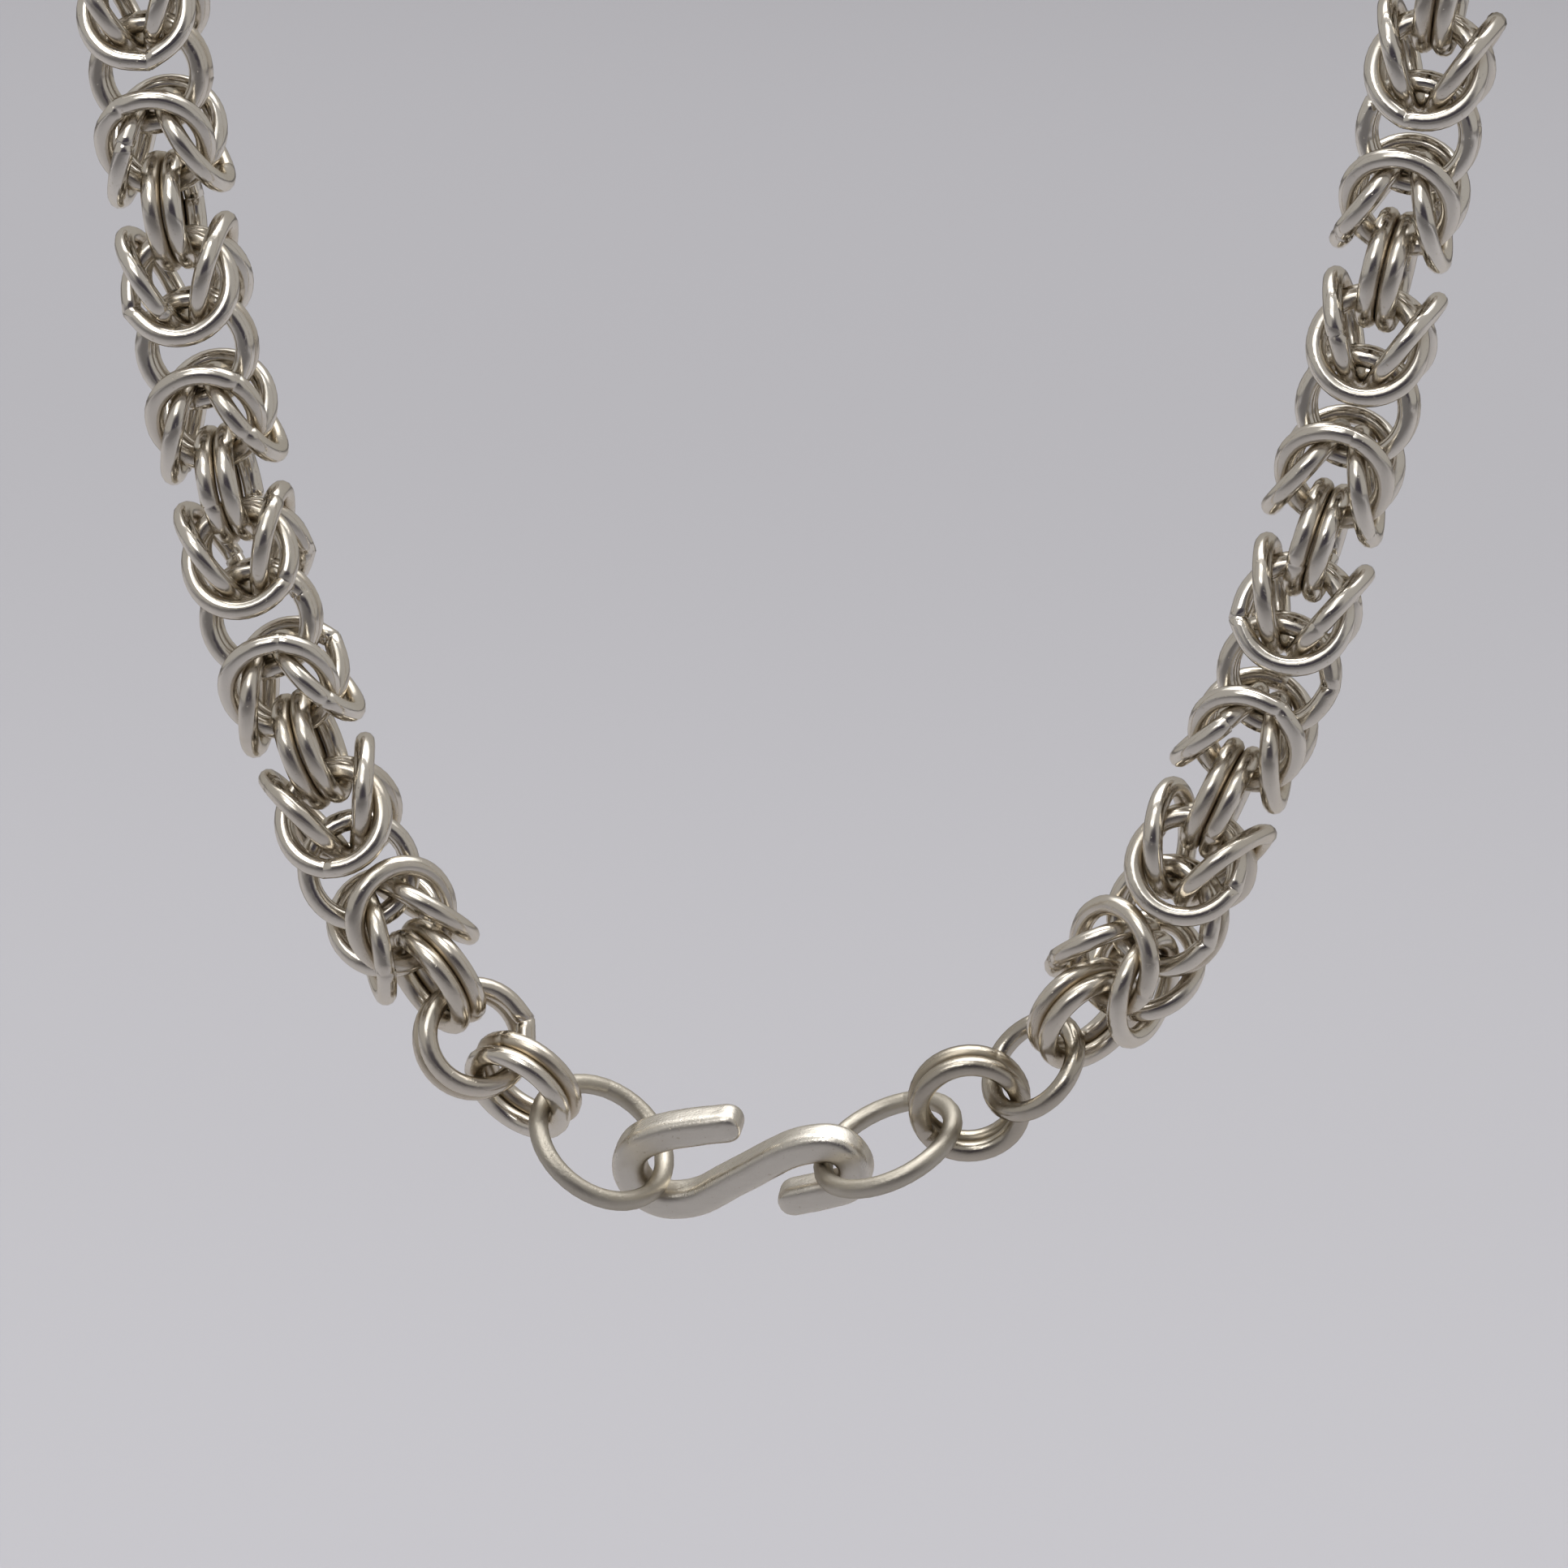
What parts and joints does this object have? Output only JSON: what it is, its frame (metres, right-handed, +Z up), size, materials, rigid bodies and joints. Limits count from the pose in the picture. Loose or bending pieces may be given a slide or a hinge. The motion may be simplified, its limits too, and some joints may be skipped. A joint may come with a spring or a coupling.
{
  "type": "chainmail necklace",
  "caption": "Silver chainmail necklace in a Byzantine weave of round wire rings, closed by an S hook through large end rings, hung as worn.",
  "frame": {"origin": "on top of the neck, at the underside of the uppermost pair of rings in the middle of the chain", "axes": "+X across the loop to the viewer's right, +Y away from the viewer through the loop, +Z up, with the hook at the bottom"},
  "size_m": [0.1172, 0.0116, 0.1822],
  "materials": {
    "polished_silver": "polished silver wire with light tarnish in the crevices",
    "satin_silver": "satin silver with fine scratches and a soft hammered face"
  },
  "bodies": {
    "root": {"chain_left": "polished_silver", "chain_right": "polished_silver", "left_link_1a": "polished_silver", "left_link_1b": "polished_silver", "left_link_2a": "polished_silver", "left_link_2b": "polished_silver", "right_link_1": "polished_silver", "right_link_2a": "polished_silver", "right_link_2b": "polished_silver", "left_hook_ring": "satin_silver", "right_hook_ring": "satin_silver", "s_hook": "satin_silver"}
  },
  "joints": []
}
